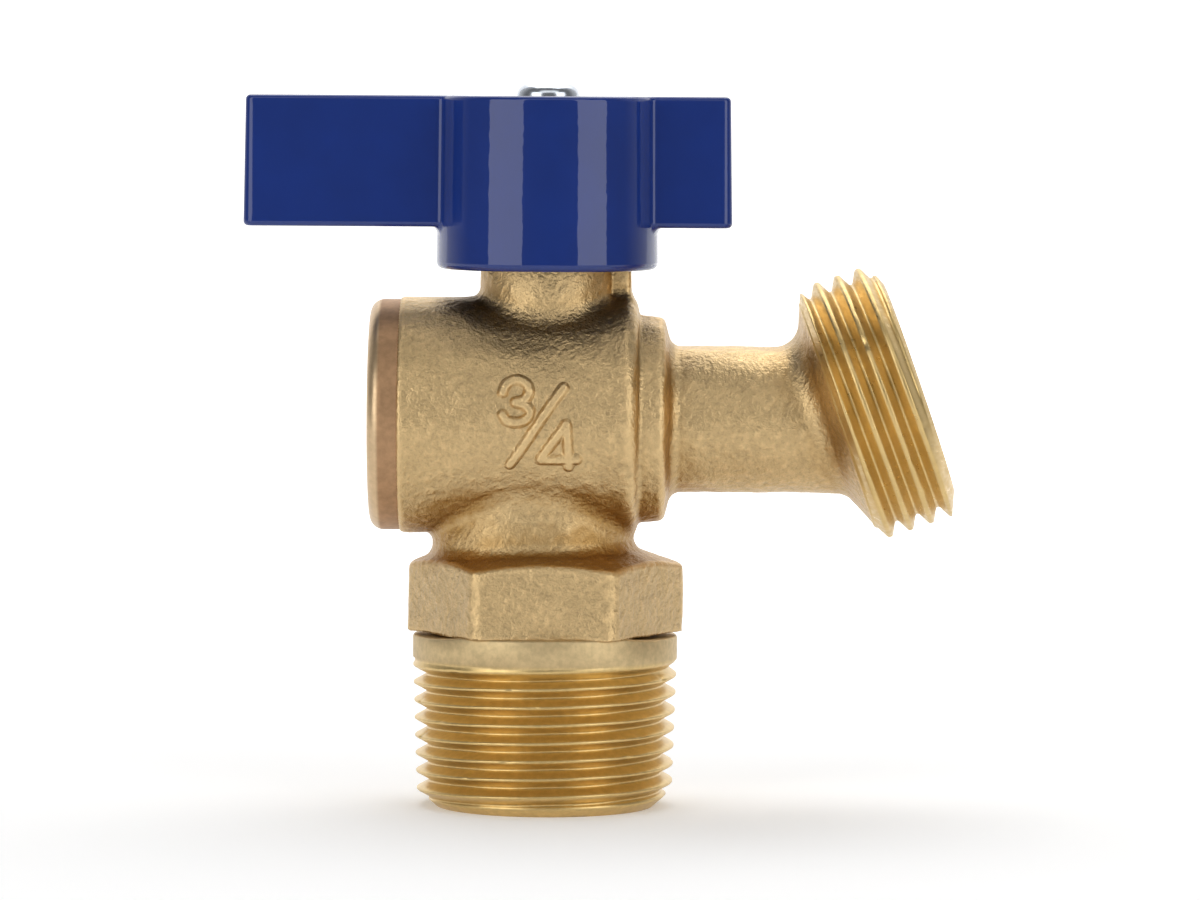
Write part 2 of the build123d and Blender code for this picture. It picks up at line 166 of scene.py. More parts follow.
class FinishColours(bpy.types.PropertyGroup):
    """Colours of the finishes."""

    brass: colour("Forged brass", "Sand-blasted brass", 0.575, 0.41, 0.205)
    # Painted shade with some tarnish: the darker, redder brass laid into hollows and below the barrel's axis
    tarnish_and_shade: colour("Recesses", "Darker, redder brass in corners that the blasting missed", 0.42, 0.25, 0.085)
    cut_brass: colour("Cut brass", "Threads and turned faces", 0.68, 0.49, 0.21)
    collar: colour("Inlet collar", "Dull turned collar between thread and hexagon", 0.60, 0.46, 0.25)
    rim_brass: colour("Rim brass", "Turned edge of the plug end", 0.62, 0.45, 0.27)
    burnt_brass: colour("Burnt brass", "Turned band beside the plug", 0.43, 0.26, 0.14)
    paint: colour("Handle paint", "Gloss blue paint", 0.003, 0.0245, 0.182)
    zinc: colour("Zinc plate", "Bright zinc plate", 0.62, 0.66, 0.72)
    chrome: colour("Chrome", "Chrome plate of the ball", 0.76, 0.77, 0.79)
    seal: colour("Seals", "White seat and packing rings", 0.83, 0.83, 0.80)
    rubber: colour("Rubber", "Black sealing rings", 0.012, 0.012, 0.012)


class StageSettings(bpy.types.PropertyGroup):
    """Floor, lights and camera."""

    distance: length("Camera distance", "From the camera to the stem's axis", 620.0)
    eye_height: length("Eye height", "Height of the camera over the floor", 74.4)
    eye_x: length("Eye place", "How far the camera stands towards the outlet", 9.7)
    lens: FloatProperty(name="Lens", description="Focal length", default=182.7, unit="CAMERA")
    pitch: tilt("Pitch", "How far the camera looks down", 3.51)
    yaw: tilt("Yaw", "How far the camera looks to the left", 0.41)
    roll: tilt("Roll", "How far the picture leans", -0.35)


def make_mesh(name, vertices, faces, normals=None, attributes=None):
    """A mesh object from arrays of places and of corner numbers, shaded smooth."""
    mesh = bpy.data.meshes.new(name)
    mesh.from_pydata(np.asarray(vertices, float), [], faces)
    mesh.validate()
    mesh.shade_smooth()
    for title, values in (attributes or {}).items():
        layer = mesh.attributes.new(title, "FLOAT", "POINT")
        layer.data.foreach_set("value", np.asarray(values, np.float32))
    if normals is not None:
        mesh.normals_split_custom_set_from_vertices(np.asarray(normals, float))
    mesh.update()
    piece = bpy.data.objects.new(name, mesh)
    bpy.context.scene.collection.objects.link(piece)
    return piece


def dress(piece, material, replaces=()):
    """Give a piece of the still body its material and its slot, and hide the nodes of the solid model that it
    stands in for.
    """
    piece.data.materials.append(material)
    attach(piece, "valve_body")
    if replaces:
        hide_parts(*replaces)


def weld(vertices, faces, reach=1e-7):
    """Join equal points, and drop the faces that have shrunk to a line."""
    keys = np.round(np.asarray(vertices) / reach).astype(np.int64)
    _, first, number = np.unique(keys, axis=0, return_index=True, return_inverse=True)
    corners = number.ravel()[faces]
    following = np.roll(corners, -1, axis=1)
    edges_left = (corners != following).sum(axis=1)
    whole = corners[edges_left == 4]
    folded = corners[edges_left == 3]
    is_new = folded != np.roll(folded, 1, axis=1)
    triangles = folded[is_new].reshape(-1, 3)
    return np.asarray(vertices)[first], whole.tolist() + triangles.tolist()


def grid_faces(rows, columns, closed_rows=False, closed_columns=False):
    """Quads between neighbouring points of a grid of rows and columns."""
    down = np.arange(rows if closed_rows else rows - 1)
    across = np.arange(columns if closed_columns else columns - 1)
    r, c = np.meshgrid(down, across, indexing="ij")
    below, beside = (r + 1) % rows, (c + 1) % columns
    quads = [r * columns + c, r * columns + beside, below * columns + beside, below * columns + c]
    return np.stack(quads, -1).reshape(-1, 4)


def round_union(a, b, radius):
    """Two fields joined, with a fillet of this radius where they meet."""
    u, v = np.maximum(radius - a, 0), np.maximum(radius - b, 0)
    return np.maximum(radius, np.minimum(a, b)) - np.sqrt(u * u + v * v)


def round_common(a, b, radius):
    """What two fields share, with the edge between them rounded to this radius."""
    u, v = np.maximum(radius + a, 0), np.maximum(radius + b, 0)
    return np.minimum(-radius, np.maximum(a, b)) + np.sqrt(u * u + v * v)


def hexagon_field(x, y, apothem):
    """Distance to a hexagon with two flats across Y. The plane is folded on its mirror lines, and the
    distance is measured to the one side that is left."""
    half, low, tangent = math.sqrt(0.75), 0.5, math.tan(math.radians(30))
    px, py = np.abs(x), np.abs(y)
    fold = 2 * np.minimum(-half * px + low * py, 0)
    px, py = px + fold * half, py - fold * low
    px = px - np.clip(px, -tangent * apothem, tangent * apothem)
    py = py - apothem
    return np.sqrt(px * px + py * py) * np.sign(py)


def hose_place(x, y, z):
    """Distance along the hose end's axis, counted from its face, and distance from that axis."""
    along = (x - hose_x) * math.cos(hose_tilt) + (z - hose_z) * math.sin(hose_tilt)
    across = (z - hose_z) * math.cos(hose_tilt) - (x - hose_x) * math.sin(hose_tilt)
    return along, np.sqrt(across * across + y * y)


def spout_distance(x, y, z, height, bend):
    """Distance from the spout's axis: a level line, an arc that turns up, and the hose end's axis."""
    turn_x = hose_x - (hose_z - height) / math.tan(hose_tilt) - bend * math.tan(hose_tilt / 2)
    angle = np.arctan2(x - turn_x, height + bend - z)
    out = np.sqrt((x - turn_x) ** 2 + (height + bend - z) ** 2) - bend
    level = z - height
    tilted = (z - hose_z) * math.cos(hose_tilt) - (x - hose_x) * math.sin(hose_tilt)
    side = np.where(angle < 0, level, np.where(angle > hose_tilt, tilted, out))
    return np.sqrt(side * side + y * y)


def unevenness(x, y, z):
    """The slight lumps of a blasted skin: plane waves of seeded directions and lengths, added up. They fade
    out where the turned band starts."""
    random = np.random.default_rng(SKIN_SEED)
    fade_start, fade_run = 3 * MM, 1 * MM
    total = 0
    for count, shortest, longest, height in ((10, 3.0, 6.0, 0.030), (16, 0.9, 1.6, 0.012)):
        for _ in range(count):
            direction = random.normal(size=3)
            direction *= TURN / np.linalg.norm(direction) / (random.uniform(shortest, longest) * MM)
            phase = direction[0] * x + direction[1] * y + direction[2] * z + random.uniform(0, TURN)
            total = total + np.sin(phase) * height * MM * math.sqrt(2 / count)
    return total * np.clip((x - body_low.x - fade_start) / fade_run, 0, 1)


def side_notch(x, sizes):
    """Height of the notch between hexagon and collar, which opens from nothing towards the side corners
    and levels off there, as a parabola does at its top."""
    share = np.clip((np.abs(x) - sizes.notch_start) / NOTCH_RUN, 0, 1)
    return sizes.notch_height * share * (2 - share)


def forging_field(sizes):
    """The forging as a field, negative in the brass: bars, a hexagon and a bent pipe, joined by fillets."""
    corner_radius = sizes.hexagon_flats / 2 / math.cos(math.radians(30))
    slope, collar_slope, collar_draft = sizes.shoulder_slope, math.radians(15), 0.1
    hose_root, under_thread, pipe_end = hose_radius - 1.45 * MM, 0.3 * MM, 31 * MM
    # Roundings of edges and of the feet of what stands out, then radii and ends of the bores
    edge_round, notch_round, skin_end, cone_round = 0.45 * MM, 0.12 * MM, 0.4 * MM, 0.1 * MM
    neck_foot, rib_round, rib_foot, collar_foot, outlet_foot = np.array([1.0, 0.5, 0.3, 0.9, 0.35]) * MM
    chamber_end, socket_end, seat_radius, seat_end = 6.4 * MM, -10.5 * MM, 7.33 * MM, 8.4 * MM
    bore_start, washer_radius, washer_top = 7 * MM, 4.75 * MM, 52.05 * MM
    stem_radius, packing_radius, packing_floor = 3.55 * MM, 5.04 * MM, 55.2 * MM

    def field(x, y, z):
        from_stem = np.sqrt(x * x + y * y)
        from_barrel = np.sqrt(y * y + (z - barrel_z) ** 2)
        from_outlet = np.sqrt(y * y + (z - sizes.spout_height) ** 2)
        along_hose, from_hose = hose_place(x, y, z)

        flats = hexagon_field(x, y, sizes.hexagon_flats / 2 - sizes.hexagon_round) - sizes.hexagon_round
        shoulder = (z - sizes.hexagon_top) * math.cos(slope) - (corner_radius - from_stem) * math.sin(slope)
        hexagon = round_common(flats, shoulder, edge_round)
        underside = sizes.hexagon_low - z
        notch = np.minimum(underside + side_notch(x, sizes) / 2, NOTCH_ROOT - from_stem)
        hexagon = np.maximum(round_common(hexagon, notch, notch_round), underside - 0.1 * MM)

        stretch = x - np.clip(x, -sizes.neck_stretch, 0)
        neck = np.maximum(np.sqrt(stretch * stretch + y * y) - sizes.neck_radius, z - barrel_z)
        shape = round_union(hexagon, np.maximum(neck, underside), neck_foot)

        barrel = round_common(from_barrel - sizes.barrel_radius, x - sizes.barrel_end, sizes.barrel_round)
        barrel = round_common(barrel, sizes.barrel_start - x, skin_end)
        shape = round_union(shape, barrel, sizes.neck_round)

        boss = np.maximum(from_stem - sizes.boss_radius, z - body_high.z)
        rib_side = np.maximum(np.abs(y) - sizes.rib_width / 2, z - sizes.rib_top)
        rib = np.maximum(round_common(rib_side, x - sizes.rib_reach, rib_round), -x)
        upright = np.maximum(round_union(boss, rib, rib_foot), barrel_z - z)
        shape = round_union(shape, upright, sizes.boss_round)

        narrowing = collar_draft * np.maximum(x - sizes.barrel_end, 0)
        face = (x - sizes.collar_face) * math.cos(collar_slope)
        face = face - (sizes.collar_radius - from_outlet) * math.sin(collar_slope)
        collar = round_common(from_outlet - sizes.collar_radius + narrowing, face, edge_round)
        pipe = np.maximum(np.maximum(from_outlet - sizes.spout_radius, -x), x - pipe_end)
        behind = -along_hose - sizes.cone_depth - (hose_radius - from_hose) * math.tan(sizes.cone_slope)
        cone = round_common(behind * math.cos(sizes.cone_slope), from_hose - hose_root, cone_round)
        outlet = round_union(pipe, np.maximum(collar, -x), collar_foot)
        # The flare is rounder above the spout than below it
        upper_share = np.clip(0.5 + (z - sizes.spout_height) / (2 * sizes.spout_radius), 0, 1)
        outlet = round_union(outlet, cone, sizes.flare_round * (0.3 + 0.7 * upper_share))
        shape = round_union(shape, outlet, outlet_foot)
        shape = shape + unevenness(x, y, z)
        shape = np.maximum(shape, along_hose + sizes.cone_depth + under_thread)

        spout = spout_distance(x, y, z, sizes.spout_height, sizes.spout_bend)
        stem_bores = (
            np.maximum(from_stem - washer_radius, z - washer_top),
            np.maximum(from_stem - stem_radius, z - packing_floor),
            np.maximum(from_stem - packing_radius, packing_floor - z),
        )
        bores = (
            np.maximum(from_stem - sizes.waterway_radius, z - barrel_z),
            np.maximum(from_barrel - sizes.chamber_radius, x - chamber_end),
            np.maximum(from_barrel - plug_high.y - PLUG_GAP, x - socket_end),
            np.maximum(from_barrel - seat_radius, x - seat_end),
            np.maximum(spout - sizes.spout_bore, bore_start - x),
            np.maximum(reduce(np.minimum, stem_bores), barrel_z - z),
        )
        return np.maximum(shape, -reduce(np.minimum, bores))

    return field


def field_gradient(field, points, step):
    """Slope of a field at points, from its values a step to each side."""
    slopes = []
    for axis in range(3):
        ahead, behind = points.copy(), points.copy()
        ahead[:, axis] += step
        behind[:, axis] -= step
        slopes.append((field(*ahead.T) - field(*behind.T)) / (2 * step))
    return np.stack(slopes, -1)


def surface_net(field, low, high, cell):
    """The zero level of a field as a mesh. Each cell of a grid that the level crosses gets one point,
    the mean of its crossed edges, and each crossed edge gets one quad. The points then slide to the level."""
    axes = [np.arange(a, b + cell, cell) for a, b in zip(low, high)]
    values = field(*np.meshgrid(*axes, indexing="ij", sparse=True))
    inside = values < 0
    cells = tuple(n - 1 for n in values.shape)
    count = int(np.prod(cells))
    total, hits, quads = np.zeros((count, 3)), np.zeros(count), []
    for axis in range(3):
        near = [slice(None)] * 3
        far = [slice(None)] * 3
        near[axis], far[axis] = slice(0, -1), slice(1, None)
        crossed = inside[tuple(near)] != inside[tuple(far)]
        start, end = values[tuple(near)][crossed], values[tuple(far)][crossed]
        place = np.argwhere(crossed)
        point = place.astype(float)
        point[:, axis] += start / (start - end)
        one, two = (axis + 1) % 3, (axis + 2) % 3
        corners = []
        for step_one, step_two in ((-1, -1), (0, -1), (0, 0), (-1, 0)):
            beside = place.copy()
            beside[:, one] += step_one
            beside[:, two] += step_two
            number = np.ravel_multi_index(beside.T, cells)
            corners.append(number)
            hits += np.bincount(number, minlength=count)
            for k in range(3):
                total[:, k] += np.bincount(number, weights=point[:, k], minlength=count)
        quad = np.stack(corners, -1)
        quad[start > 0] = quad[start > 0][:, ::-1]
        quads.append(quad)
    used = hits > 0
    number = np.cumsum(used) - 1
    points = total[used] / hits[used, None] * cell + np.array(low)
    for _ in range(3):
        slope = field_gradient(field, points, cell / 10)
        steep = np.maximum((slope * slope).sum(axis=1), 0.2)
        move = -(field(*points.T) / steep)[:, None] * slope
        points = points + np.clip(move, -cell / 2, cell / 2)
    return points, number[np.concatenate(quads)]


def thread_surface(low, high, pitch, phase, radius_at, profile, columns):
    """Points of a right-handed thread. The first parameter climbs through the profile, turn after turn, and
    the second goes round, so every row of the grid follows the helix. Rows end at the two end heights."""
    turns = np.arange(math.floor((low - phase) / pitch) - 2, math.ceil((high - phase) / pitch) + 2)
    share, depth = profile
    steps = (turns[:, None] + share[None, :]).ravel()
    depths = np.tile(depth, len(turns))
    angle = np.linspace(0, TURN, columns + 1)
    height = (steps[:, None] + angle[None, :] / TURN) * pitch + phase
    clipped = np.clip(height, low, high)
    there = (clipped - phase) / pitch - angle[None, :] / TURN
    flat_depth = np.interp(there % 1, np.append(share, 1), np.append(depth, depth[0]))
    cut = np.where(clipped == height, depths[:, None], flat_depth)
    radius = radius_at(clipped, angle[None, :], cut)
    return clipped, radius, angle


def thread_profile(crest, root, corner):
    """One turn of a thread as (share of the pitch, depth from 0 at the crest to 1 at the root): a flat crest,
    two straight flanks and a flat root, with the corners between them eased."""
    half_crest, half_root = crest / 2, root / 2
    knots = np.array([0, half_crest - corner, half_crest, half_crest + corner, 0.5 - half_root - corner,
                      0.5 - half_root, 0.5 - half_root + corner, 0.5])
    run = 0.5 - half_root - half_crest
    slope = corner / run
    levels = np.array([0, 0, 0.3 * slope, slope, 1 - slope, 1 - 0.3 * slope, 1, 1])
    middle = (knots[3] + knots[4]) / 2
    knots, levels = np.insert(knots, 4, middle), np.insert(levels, 4, 0.5)
    return np.concatenate([knots, 1 - knots[-2:0:-1]]), np.concatenate([levels, levels[-2:0:-1]])


def nicks(angle, height, seed, count, low, high):
    """Small dents on the crests: smooth hollows of seeded place, length and depth, added up, as a share of
    the thread's depth."""
    random = np.random.default_rng(seed)
    dents = np.zeros(np.broadcast(angle, height).shape)
    for _ in range(count):
        at_angle, at_height = random.uniform(0, TURN), random.uniform(low, high)
        long, tall = random.uniform(0.012, 0.05), random.uniform(0.25, 0.6) * MM
        away = (angle - at_angle + math.pi) % TURN - math.pi
        dents += random.uniform(0.05, 0.22) * np.exp(-(away / long) ** 2 - ((height - at_height) / tall) ** 2)
    return dents


def thread_piece(name, thread, inner, turned=None):
    """A closed thread as a mesh object. Its outer grid of height and radius is carried on over its end faces
    and back through its bore, as rows of (radius, height), then turned about Z and put in its place."""
    height, radius, angle = thread
    height = np.concatenate([height] + [(h + 0 * angle)[None, :] for _, h in inner])
    radius = np.concatenate([radius] + [(r + 0 * angle)[None, :] for r, _ in inner])
    places = lathe_places(height, radius, angle[None, :])
    if turned:
        places = turned(places)
    faces = grid_faces(len(height), len(angle), closed_rows=True)
    return make_mesh(name, *weld(places.reshape(-1, 3), faces))


def lathe_places(height, radius, angle):
    """Places on a surface turned about Z, from grids of height, radius and angle."""
    return np.stack([radius * np.cos(angle), radius * np.sin(angle), height], -1)


def tilt_to_hose(places):
    """Turn places made about Z, with the hose face at height 0, onto the hose end's axis."""
    x, y, z = places[..., 0], places[..., 1], places[..., 2]
    return np.stack([
        hose_x + z * math.cos(hose_tilt) - x * math.sin(hose_tilt),
        -y,
        hose_z + z * math.sin(hose_tilt) + x * math.cos(hose_tilt),
    ], -1)


def turned_ring(points, columns=192):
    """A closed ring turned about Z: a loop of (radius, height) points carried round a full turn."""
    radius, height = np.array(points).T
    angle = np.linspace(0, TURN, columns, endpoint=False)
    places = lathe_places(
        np.repeat(height[:, None], columns, 1), np.repeat(radius[:, None], columns, 1), angle[None, :]
    )
    return places.reshape(-1, 3), grid_faces(len(points), columns, closed_rows=True, closed_columns=True)


def arc(centre, radius, start, end, steps):
    """Points on an arc, as (first, second) pairs, with angles in degrees."""
    angle = np.radians(np.linspace(start, end, steps))
    return [(centre[0] + radius * math.cos(a), centre[1] + radius * math.sin(a)) for a in angle]


def smooth_line(points, steps, between=24):
    """A smooth, evenly stepped line through points: a cubic between each pair, sloped by its neighbours."""
    points = np.array(points, float)
    padded = np.concatenate([[2 * points[0] - points[1]], points, [2 * points[-1] - points[-2]]])
    t = np.linspace(0, 1, between, endpoint=False)[:, None]
    parts = []
    for a, b, c, d in zip(padded[:-3], padded[1:-2], padded[2:-1], padded[3:]):
        square, cube = 2 * a - 5 * b + 4 * c - d, 3 * b - a - 3 * c + d
        parts.append(0.5 * (2 * b + (c - a) * t + square * t**2 + cube * t**3))
    dense = np.concatenate(parts + [points[-1:]])
    run = np.concatenate([[0], np.cumsum(np.linalg.norm(np.diff(dense, axis=0), axis=1))])
    even = np.linspace(0, run[-1], steps)
    return np.stack([np.interp(even, run, dense[:, k]) for k in range(2)], -1)


def distance_to_line(places, line):
    """Distance from places on a plane to a line of points: the least distance to its straight pieces."""
    nearest = np.full(places.shape[:-1], np.inf)
    for start, end in zip(line[:-1], line[1:]):
        along = end - start
        share = np.clip(((places - start) @ along) / (along @ along), 0, 1)
        nearest = np.minimum(nearest, np.linalg.norm(places - start - share[..., None] * along, axis=-1))
    return nearest


def raised_mark(strokes, sizes, radius):
    """Raised strokes on the barrel. The first parameter runs along the barrel and the second round it. The
    height falls from the strokes' flat tops to the skin, as half a cosine wave of the distance to the
    nearest stroke."""
    sunk, deep, steps_per_point = 0.03 * MM, 0.4 * MM, 9
    lines = [smooth_line(np.array(points) * MM, steps_per_point * len(points)) for points in strokes]
    margin = sizes.stroke_width / 2 + sizes.step
    low, high = np.concatenate(lines).min(axis=0) - margin, np.concatenate(lines).max(axis=0) + margin
    axes = [np.arange(a, b + sizes.step, sizes.step) for a, b in zip(low, high)]
    places = np.stack(np.meshgrid(*axes, indexing="ij"), -1)
    away = np.min([distance_to_line(places, line) for line in lines], axis=0)
    flat = sizes.stroke_flat / 2
    share = np.clip((away - flat) / (sizes.stroke_width / 2 - flat), 0, 1)
    rise = sizes.stroke_height * 0.5 * (1 + np.cos(math.pi * share))
    turn = places[..., 1] / radius
    skin = barrel_skin(places[..., 0], turn, radius)
    outer = skin - sunk + rise
    inner = skin - deep
    inner[[0, -1]] = outer[[0, -1]]
    sheets = [
        np.stack([places[..., 0], -r * np.cos(turn), barrel_z + r * np.sin(turn)], -1) for r in (outer, inner)
    ]
    closed = np.concatenate([sheets[0], sheets[1][:, ::-1]], axis=1)
    return weld(closed.reshape(-1, 3), grid_faces(*closed.shape[:2], closed_columns=True))


def barrel_skin(x, turn, radius):
    """Distance of the forged skin from the barrel's axis: the radius less the lumps' height in the field."""
    return radius - unevenness(x, -radius * np.cos(turn), barrel_z + radius * np.sin(turn))


def start_material(name, **settings):
    """A material with one Principled shader, and the values that are the same all over it."""
    material = bpy.data.materials.new(name)
    material.use_nodes = True
    shader = material.node_tree.nodes["Principled BSDF"]
    for key, value in settings.items():
        shader.inputs[key.replace("_", " ")].default_value = value
    return material, material.node_tree, shader


def noise(tree, scale, detail=3.0, roughness=0.55, stretch=None):
    """Noise on object coordinates; scale counts features per metre, and stretch scales the axes apart."""
    place = tree.nodes.new("ShaderNodeTexCoord").outputs["Object"]
    if stretch is not None:
        mapping = tree.nodes.new("ShaderNodeMapping")
        mapping.inputs["Scale"].default_value = stretch
        tree.links.new(place, mapping.inputs["Vector"])
        place = mapping.outputs["Vector"]
    made = tree.nodes.new("ShaderNodeTexNoise")
    made.inputs["Scale"].default_value = scale
    made.inputs["Detail"].default_value = detail
    made.inputs["Roughness"].default_value = roughness
    tree.links.new(place, made.inputs["Vector"])
    return made.outputs["Fac"]


def fit(tree, value, from_low, from_high, to_low, to_high):
    """A value stretched from one range to another, and held within it."""
    made = tree.nodes.new("ShaderNodeMapRange")
    levels = {"From Min": from_low, "From Max": from_high, "To Min": to_low, "To Max": to_high}
    for name, level in levels.items():
        made.inputs[name].default_value = level
    tree.links.new(value, made.inputs["Value"])
    return made.outputs["Result"]


def mix(tree, share, first, second):
    """Two colours mixed by a share. Each colour may be a socket or three numbers."""
    made = tree.nodes.new("ShaderNodeMix")
    made.data_type = "RGBA"
    # Sockets 6, 7 and 2 are the ones for colours
    tree.links.new(share, made.inputs[0])
    for socket, value in ((made.inputs[6], first), (made.inputs[7], second)):
        if isinstance(value, bpy.types.NodeSocket):
            tree.links.new(value, socket)
        else:
            socket.default_value = (*value, 1.0)
    return made.outputs[2]


def bump(tree, height, distance, under=None):
    """A bump of this depth in metres, laid over another where one is given."""
    made = tree.nodes.new("ShaderNodeBump")
    made.inputs["Strength"].default_value = 1.0
    made.inputs["Distance"].default_value = distance
    tree.links.new(height, made.inputs["Height"])
    if under is not None:
        tree.links.new(under, made.inputs["Normal"])
    return made.outputs["Normal"]


def shade(base, factor):
    """A colour made lighter or darker."""
    return tuple(min(1.0, part * factor) for part in base)


def carried(tree, name):
    """A value that the mesh carries, by name. One says how sharply the forging bends outwards, and on the
    size mark how high a stroke stands, for a painted highlight there; the other says how deep a point lies
    between its neighbours, for painted shade with some tarnish."""
    made = tree.nodes.new("ShaderNodeAttribute")
    made.attribute_name = name
    return made.outputs["Fac"]


def forged_brass(colours):
    """Sand-blasted brass: fine grain, faint mottling, painted shade in the grain's valleys and painted
    highlights on its crests, painted shade with some tarnish in recesses and below the barrel, and edges
    rubbed a little brighter. On the size mark, the stroke tops are painted brighter as a highlight.
    """
    material, tree, shader = start_material("forged_brass", Metallic=1.0)
    base = colours.brass
    mottle = fit(tree, noise(tree, 420, 4), 0.35, 0.65, 0, 1)
    tone = mix(tree, mottle, shade(base, 0.94), shade(base, 1.05))
    leather = noise(tree, 2200, 3, 0.6)
    grain = noise(tree, 4600, 2, 0.6)
    # Painted shade in the valleys of the leather relief, and painted highlights on its crests
    tone = mix(tree, fit(tree, leather, 0.47, 0.36, 0, 0.5), tone, shade(base, 0.7))
    tone = mix(tree, fit(tree, leather, 0.55, 0.68, 0, 0.45), tone, shade(base, 1.35))
    # Painted shade with some tarnish: hollows and the parts below the barrel's axis turn darker and redder
    tone = mix(tree, fit(tree, carried(tree, "hollow_shade_and_tarnish"), 0.03, 0.38, 0, 0.95), tone, colours.tarnish_and_shade)
    # Edges rubbed brighter on the forging; on the size mark, a painted highlight on the stroke tops
    tone = mix(tree, fit(tree, carried(tree, "edge"), 0.15, 0.9, 0, 0.5), tone, shade(base, 1.35))
    tree.links.new(tone, shader.inputs["Base Color"])
    tree.links.new(fit(tree, grain, 0.3, 0.7, 0.30, 0.41), shader.inputs["Roughness"])
    normal = bump(tree, leather, 0.14 * MM)
    normal = bump(tree, grain, 0.045 * MM, under=normal)
    tree.links.new(normal, shader.inputs["Normal"])
    return material


def tool_marked(name, stretch):
    """Turned brass before it has its colour: fine tool marks, stretched along the way that the tool went."""
    material, tree, shader = start_material(name, Metallic=1.0)
    marks = noise(tree, 3200, 2, 0.5, stretch)
    tree.links.new(bump(tree, marks, 0.012 * MM), shader.inputs["Normal"])
    return material, tree, shader, marks


def cut_brass(colours, name="cut_brass", roughness=0.24, stretch=(1, 1, 1)):
    """Turned brass in one bright tone, faintly mottled, and duller or glossier with its tool marks."""
    material, tree, shader, marks = tool_marked(name, stretch)
    base = colours.cut_brass
    mottle = fit(tree, noise(tree, 350, 3), 0.35, 0.65, 0, 1)
    tree.links.new(mix(tree, mottle, shade(base, 0.95), shade(base, 1.04)), shader.inputs["Base Color"])
    gloss = fit(tree, marks, 0.3, 0.7, roughness * 0.75, roughness * 1.35)
    tree.links.new(gloss, shader.inputs["Roughness"])
    return material


def two_tones(name, stretch, axis, ends, tones, rough):
    """Turned brass whose colour and roughness change from one to another between two places on an axis."""
    material, tree, shader, _ = tool_marked(name, stretch)
    parts = tree.nodes.new("ShaderNodeSeparateXYZ")
    tree.links.new(tree.nodes.new("ShaderNodeTexCoord").outputs["Object"], parts.inputs["Vector"])
    mottle = fit(tree, noise(tree, 1400, 3, 0.6), 0.35, 0.65, 0, 1)
    share = fit(tree, parts.outputs[axis], *ends, 0, 1)
    first = mix(tree, mottle, shade(tones[0], 0.92), shade(tones[0], 1.06))
    second = mix(tree, mottle, shade(tones[1], 0.9), shade(tones[1], 1.1))
    tree.links.new(mix(tree, share, first, second), shader.inputs["Base Color"])
    tree.links.new(fit(tree, share, 0, 1, *rough), shader.inputs["Roughness"])
    return material


def rim_brass(colours):
    """Turned edge of the plug end: light at its face, and scorched brown where it meets the forging."""
    ends, tones = (-17.0 * MM, -16.7 * MM), (colours.rim_brass, colours.burnt_brass)
    return two_tones("rim_brass", (1, 0.3, 0.3), "X", ends, tones, rough=(0.36, 0.5))


def inlet_brass(colours):
    """Cut thread, with the paler, duller collar above it."""
    ends, tones = (14.9 * MM, 15.4 * MM), (colours.cut_brass, colours.collar)
    return two_tones("inlet_brass", (0.25, 0.25, 1), "Z", ends, tones, rough=(0.34, 0.5))


def blue_paint(colours):
    """Gloss paint: a thin clear gloss over an even blue, with the faint ripple of sprayed paint."""
    material, tree, shader = start_material(
        "blue_paint", Roughness=0.5, Specular_IOR_Level=0.1, Coat_Weight=1.0, Coat_Roughness=0.035
    )
    base = colours.paint
    cloud = fit(tree, noise(tree, 160, 2), 0.3, 0.7, 0, 1)
    tree.links.new(mix(tree, cloud, shade(base, 0.93), shade(base, 1.07)), shader.inputs["Base Color"])
    ripple = bump(tree, noise(tree, 700, 2), 0.012 * MM)
    tree.links.new(ripple, shader.inputs["Normal"])
    tree.links.new(ripple, shader.inputs["Coat Normal"])
    return material


def plain(name, base, grain=900, depth=0.01, tones=(0.88, 1.08), **settings):
    """A plain material with a faint cloudiness in its tone and surface. Grain counts clouds per metre, and
    depth is in millimetres."""
    material, tree, shader = start_material(name, **settings)
    cloud = noise(tree, grain, 3)
    dark, light = (shade(base, factor) for factor in tones)
    tree.links.new(mix(tree, fit(tree, cloud, 0.3, 0.7, 0, 1), dark, light), shader.inputs["Base Color"])
    tree.links.new(bump(tree, cloud, depth * MM), shader.inputs["Normal"])
    return material


def finish(name):
    """A finish by name, made on first use."""
    if name in finishes:
        return finishes[name]
    colours, plated = bpy.context.scene.valve_colours, (0.9, 1.06)
    makers = {
        "forged_brass": lambda: forged_brass(colours),
        "cut_brass": lambda: cut_brass(colours),
        "thread_brass": lambda: cut_brass(colours, "thread_brass", roughness=0.36, stretch=(0.25, 0.25, 1)),
        "rim_brass": lambda: rim_brass(colours),
        "inlet_brass": lambda: inlet_brass(colours),
        "blue_paint": lambda: blue_paint(colours),
        "bright_zinc": lambda: plain(
            "bright_zinc", colours.zinc, 1800, 0.006, plated, Metallic=1.0, Roughness=0.2
        ),
        "chrome_plate": lambda: plain(
            "chrome_plate", colours.chrome, 700, 0.002, plated, Metallic=1.0, Roughness=0.07
        ),
        "white_ptfe": lambda: plain("white_ptfe", colours.seal, Roughness=0.38),
        "black_rubber": lambda: plain("black_rubber", colours.rubber, Roughness=0.5),
    }
    finishes[name] = makers[name]()
    return finishes[name]


